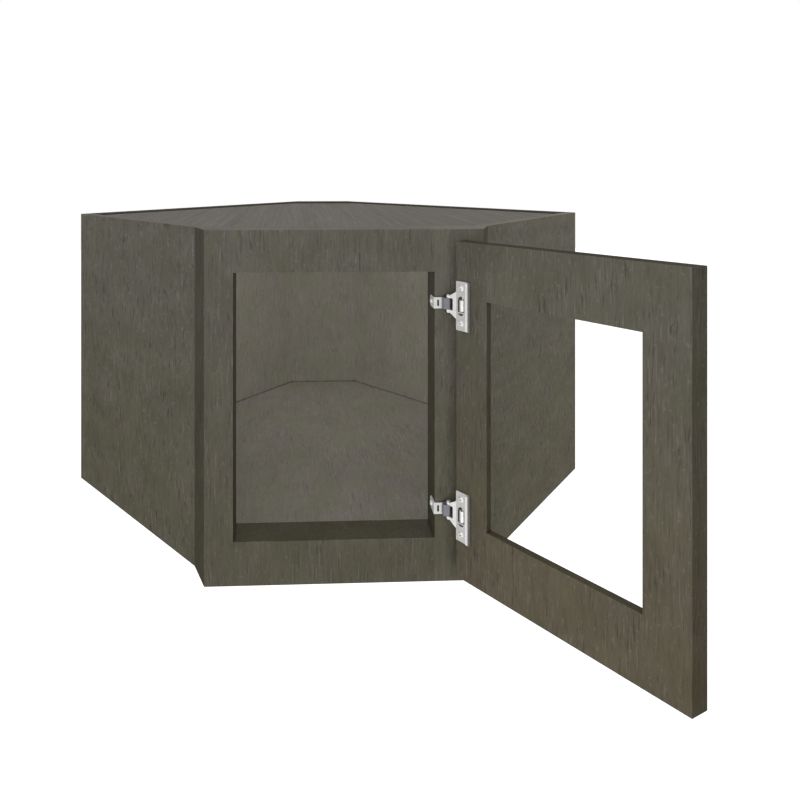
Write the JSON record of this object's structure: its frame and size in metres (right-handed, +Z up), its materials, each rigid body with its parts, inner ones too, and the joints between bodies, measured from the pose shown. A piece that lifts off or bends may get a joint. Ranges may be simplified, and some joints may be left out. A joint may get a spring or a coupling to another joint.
{
  "type": "diagonal corner wall cabinet",
  "caption": "Diagonal corner wall cabinet: dark stained wood case with a bevelled face frame and a side-hinged open-frame door for glass, shown standing open.",
  "frame": {"origin": "the line where the two room walls meet, level with the underside of the case", "axes": "+Y points into the room corner and the front faces -Y, +X runs to the right of someone facing the cabinet, +Z is up; the two walls run at 45 degrees to X"},
  "size_m": [0.7254, 0.7235, 0.381],
  "materials": {
    "panel_wood": "stained plywood with fine vertical grain",
    "frame_wood": "stained hardwood, satin",
    "door_wood": "stained hardwood, satin",
    "rail_wood": "stained plywood, sanded less",
    "hinge_nickel": "bright nickel plate",
    "hinge_arm_zinc": "dark grey die-cast zinc",
    "screw_steel": "zinc plated steel"
  },
  "bodies": {
    "case": {"left_side_panel": "panel_wood", "right_side_panel": "panel_wood", "left_back_panel": "panel_wood", "right_back_panel": "panel_wood", "corner_back_panel": "panel_wood", "top_panel": "panel_wood", "bottom_panel": "panel_wood", "left_upper_hanging_rail": "rail_wood", "left_lower_hanging_rail": "rail_wood", "right_upper_hanging_rail": "rail_wood", "right_lower_hanging_rail": "rail_wood", "upper_corner_block": "rail_wood", "lower_corner_block": "rail_wood", "left_frame_stile": "frame_wood", "right_frame_stile": "frame_wood", "top_frame_rail": "frame_wood", "bottom_frame_rail": "frame_wood", "upper_hinge_clip": "hinge_nickel", "lower_hinge_clip": "hinge_nickel", "upper_hinge_arm": "hinge_arm_zinc", "lower_hinge_arm": "hinge_arm_zinc", "upper_hinge_pin": "screw_steel", "lower_hinge_pin": "screw_steel", "hinge_clip_screws": "screw_steel"},
    "door": {"door_hinge_stile": "door_wood", "door_free_stile": "door_wood", "door_top_rail": "door_wood", "door_bottom_rail": "door_wood", "upper_hinge_cup_plate": "hinge_nickel", "lower_hinge_cup_plate": "hinge_nickel", "upper_hinge_roller": "screw_steel", "lower_hinge_roller": "screw_steel", "hinge_cup_screws": "screw_steel"}
  },
  "joints": [
    {"name": "door_swing", "type": "hinge", "parent": "case", "child": "door", "pos_m": [0.11157, -0.59687, 0.1905], "axis": [0, 0, 1], "range_deg": [-130, 0]}
  ]
}
